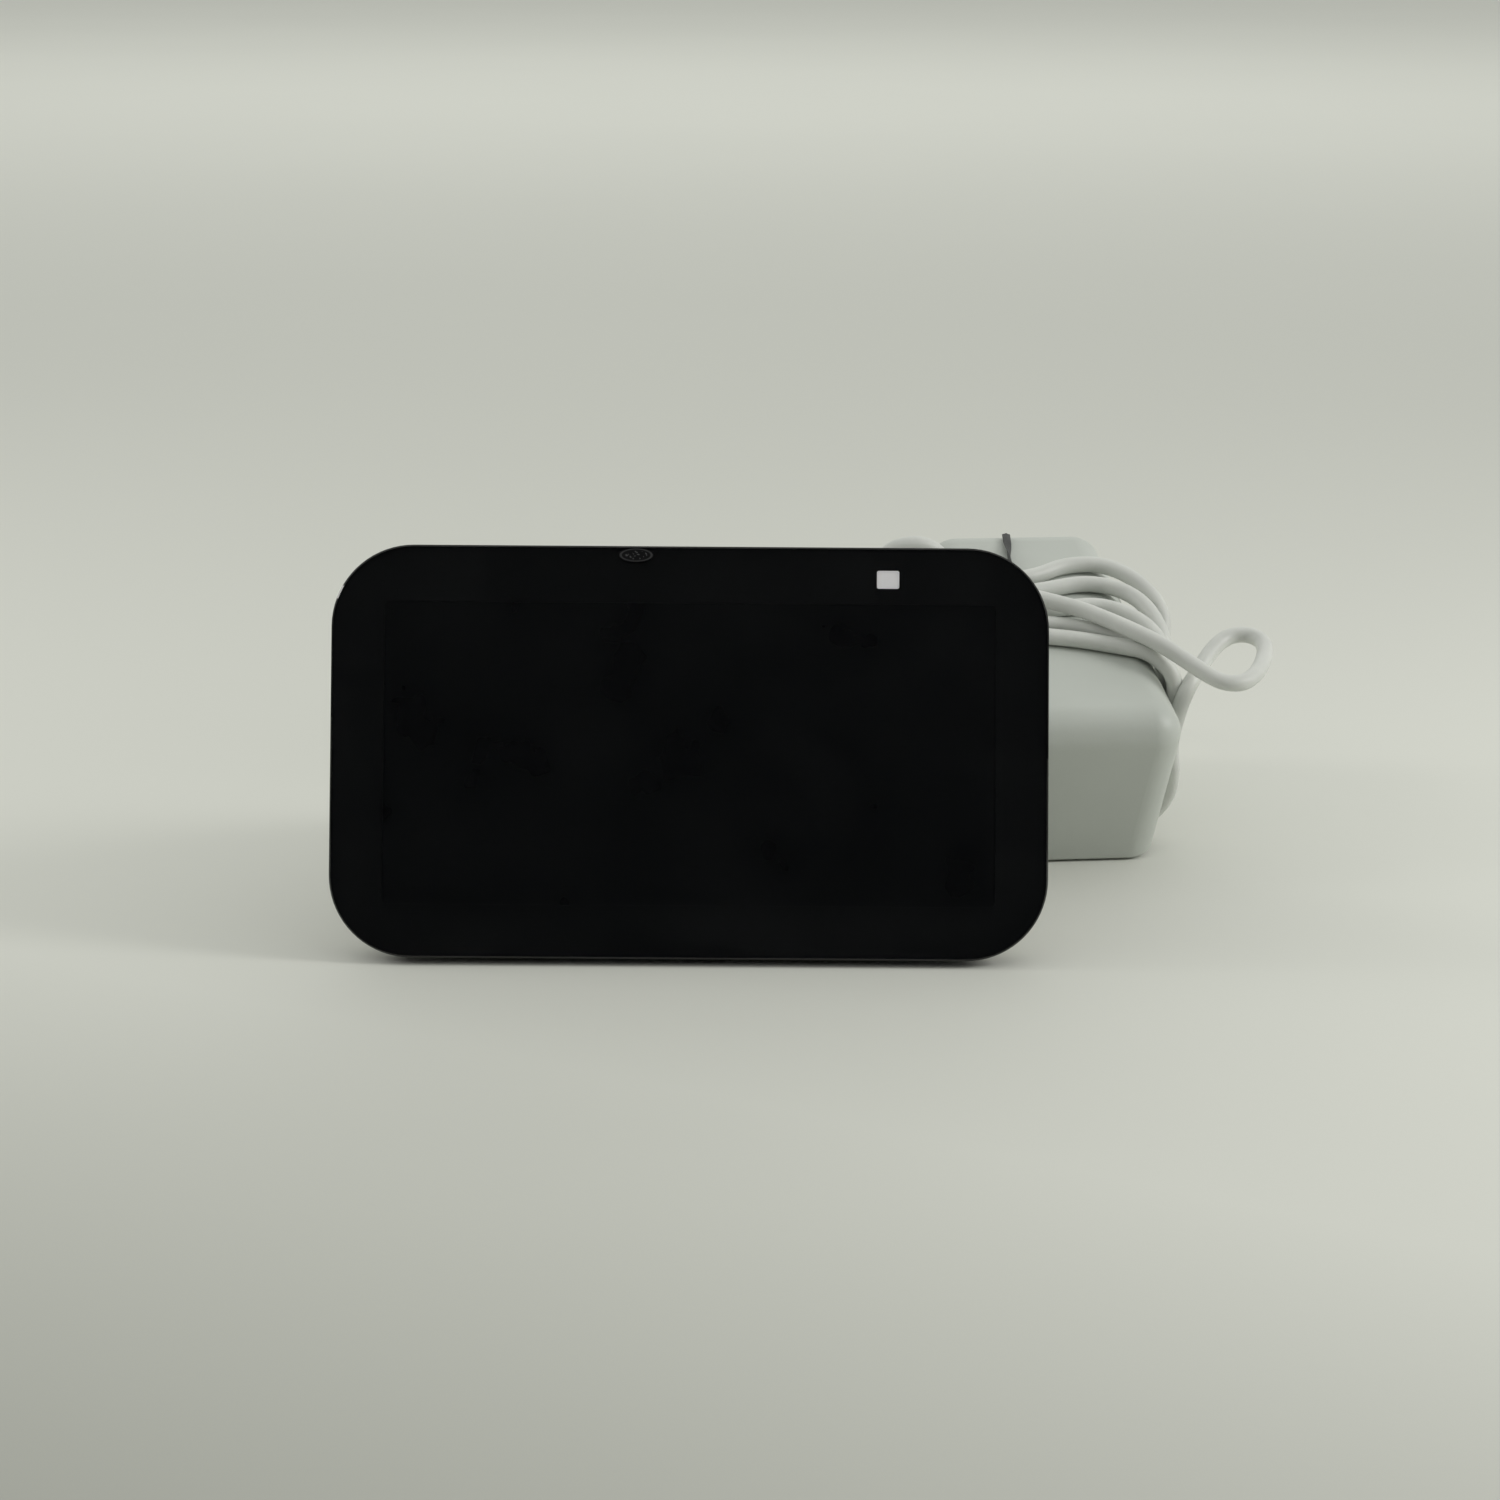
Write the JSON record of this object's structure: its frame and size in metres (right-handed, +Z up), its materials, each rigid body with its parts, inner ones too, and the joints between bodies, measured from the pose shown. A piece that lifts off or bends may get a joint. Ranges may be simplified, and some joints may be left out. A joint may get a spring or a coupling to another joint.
{
  "type": "smart display",
  "caption": "Countertop touch display with a leaning glass front, fabric-covered wedge body, camera shutter, top buttons and a mains adapter wound in its own lead.",
  "frame": {"origin": "on the table under the middle of the display unit's own box, without the adapter and lead", "axes": "+Z up, +X to the right as one faces the glass, -Y out of the glass"},
  "size_m": [0.2052, 0.1756, 0.082],
  "materials": {
    "clear_glass": "clear, polished, chamfered rim",
    "black_print": "black print on the back of the glass",
    "clear_label": "worn clear label",
    "display_black": "switched-off screen, near black with a blue cast",
    "backlight": "white light guide in its tray",
    "black_plastic": "fine moulded texture",
    "white_plastic": "satin moulded",
    "shell_plastic": "moulded, under the fabric",
    "knit_fabric": "knitted acoustic fabric",
    "screw_steel": "zinc plated",
    "foot_rubber": "soft rubber",
    "spreader_aluminium": "stamped sheet",
    "board_laminate": "solder resist over glass laminate",
    "shield_steel": "tinned can",
    "flex_film": "amber flexible circuit",
    "shutter_white": "white card-like blade",
    "basket_steel": "black painted",
    "magnet_steel": "plated yoke",
    "cone_paper": "coated paper",
    "coil_copper": "enamelled winding",
    "plug_nickel": "nickel plated",
    "lead_vinyl": "soft white vinyl",
    "adapter_plastic": "white, satin gloss",
    "pin_brass": "nickel-plated brass",
    "ferrite": "ferrite core with yellow tape",
    "capacitor_sleeve": "sleeved aluminium can",
    "tie_black": "black paper-plastic tie"
  },
  "bodies": {
    "root": {"cover_glass": "clear_glass", "glass_mask": "black_print", "label_oval": "clear_label", "display_panel": "display_black", "backlight_unit": "backlight", "front_frame": "black_plastic", "body_ring": "white_plastic", "rear_shell": "shell_plastic", "fabric_wrap": "knit_fabric", "base_plate": "white_plastic", "base_screws": "screw_steel", "rubber_foot": "foot_rubber", "frame_screws": "screw_steel", "heat_spreader": "spreader_aluminium", "main_board": "board_laminate", "processor_shield": "shield_steel", "radio_shield": "shield_steel", "display_flex": "flex_film", "camera_module": "black_plastic", "camera_lens": "black_plastic", "camera_flex": "flex_film", "microphone_board": "board_laminate", "button_board": "board_laminate", "tact_switches": "shield_steel", "wifi_antenna_left": "flex_film", "wifi_antenna_right": "flex_film", "speaker_baffle": "black_plastic", "speaker_frame": "basket_steel", "speaker_magnet": "magnet_steel", "speaker_surround": "foot_rubber", "dc_jack": "black_plastic", "jack_board": "board_laminate", "plug_barrel": "plug_nickel", "plug_body": "lead_vinyl", "cord_run": "lead_vinyl", "cord_winding": "lead_vinyl", "cord_loop": "lead_vinyl", "cord_tail": "lead_vinyl", "strain_relief": "lead_vinyl", "adapter_housing": "adapter_plastic", "adapter_base": "adapter_plastic", "adapter_pins": "pin_brass", "adapter_board": "board_laminate", "adapter_transformer": "ferrite", "adapter_capacitors": "capacitor_sleeve", "twist_tie": "tie_black"},
    "mic_button": {"mic_button": "white_plastic"},
    "volume_down_button": {"volume_down_button": "white_plastic"},
    "volume_up_button": {"volume_up_button": "white_plastic"},
    "camera_shutter": {"shutter_slider": "white_plastic", "shutter_blade": "shutter_white"},
    "speaker_diaphragm": {"speaker_cone": "cone_paper", "voice_coil": "coil_copper"}
  },
  "joints": [
    {"name": "mic_press", "type": "slide", "parent": "root", "child": "mic_button", "axis": [0, -0.309, -0.9511], "range_m": [0, 0.0004], "stiffness_N_per_m": 1500},
    {"name": "volume_down_press", "type": "slide", "parent": "root", "child": "volume_down_button", "axis": [0, -0.309, -0.9511], "range_m": [0, 0.0004], "stiffness_N_per_m": 1500},
    {"name": "volume_up_press", "type": "slide", "parent": "root", "child": "volume_up_button", "axis": [0, -0.309, -0.9511], "range_m": [0, 0.0004], "stiffness_N_per_m": 1500},
    {"name": "shutter_slide", "type": "slide", "parent": "root", "child": "camera_shutter", "axis": [1, 0, 0], "range_m": [0, 0.0065]},
    {"name": "cone_stroke", "type": "slide", "parent": "root", "child": "speaker_diaphragm", "axis": [0, 0.9511, -0.309], "range_m": [-0.0012, 0.0012], "stiffness_N_per_m": 900}
  ]
}
